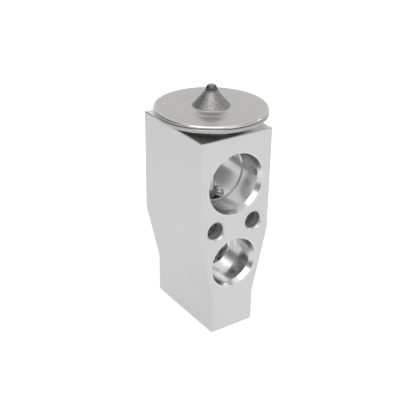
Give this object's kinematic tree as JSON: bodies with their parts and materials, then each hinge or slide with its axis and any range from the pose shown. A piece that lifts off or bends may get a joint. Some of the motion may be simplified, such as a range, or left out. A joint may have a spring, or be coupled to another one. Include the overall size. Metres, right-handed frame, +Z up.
{
  "type": "thermostatic expansion valve",
  "caption": "Block-type expansion valve: a tapered aluminium block with ports front and back, through bolt holes, and a round welded head that moves a ball valve inside.",
  "frame": {"origin": "where the vertical valve axis meets the plane of the block's bottom face", "axes": "+Z up along the valve axis, -Y out of the face with the suction and outlet ports, +X to its right"},
  "size_m": [0.0374, 0.0377, 0.0833],
  "materials": {
    "block_aluminium": "fine satin, with turned bores",
    "head_steel": "spun satin stainless steel",
    "weld_steel": "dull weld bead",
    "plug_steel": "dark, heat-tinted at its foot",
    "seal_rubber": "smooth black rubber",
    "pad_brass": "turned",
    "gland_brass": "turned",
    "screw_brass": "turned, with a hexagon socket",
    "washer_plastic": "plain",
    "rod_steel": "ground, bright",
    "inner_steel": "plain stainless steel",
    "ball_steel": "polished",
    "spring_steel": "drawn wire"
  },
  "bodies": {
    "block": {"valve_block": "block_aluminium", "head_upper_cover": "head_steel", "head_lower_cover": "head_steel", "head_rim_weld": "weld_steel", "diaphragm": "inner_steel", "charge_plug": "plug_steel", "head_o_ring": "seal_rubber", "rod_guide_bush": "pad_brass", "rod_o_ring": "seal_rubber", "gland_washer": "washer_plastic", "rod_seal_gland": "gland_brass", "seat_insert": "inner_steel", "superheat_spring": "spring_steel"},
    "valve_stem": {"diaphragm_pad": "pad_brass", "operating_rod": "rod_steel", "valve_ball": "ball_steel", "ball_carrier": "pad_brass", "anti_vibration_ring": "inner_steel"},
    "screw_seal": {"screw_o_ring": "seal_rubber"},
    "setting_screw": {"adjusting_screw": "screw_brass"}
  },
  "joints": [
    {"name": "valve_lift", "type": "slide", "parent": "block", "child": "valve_stem", "axis": [0, 0, -1], "range_m": [0, 0.0008], "stiffness_N_per_m": 3000, "springref_m": -0.002, "deforming": ["superheat_spring", "diaphragm"]},
    {"name": "screw_travel", "type": "slide", "parent": "block", "child": "screw_seal", "axis": [0, 0, 1], "range_m": [-0.001, 0.0015]},
    {"name": "screw_turn", "type": "hinge", "parent": "screw_seal", "child": "setting_screw", "pos_m": [0, 0, 0.0012], "axis": [0, 0, 1], "range_deg": [-360, 540]}
  ],
  "couplings": [
    {"joint": "screw_travel", "follows": "screw_turn", "m_per_rad": 0.00015915}
  ]
}
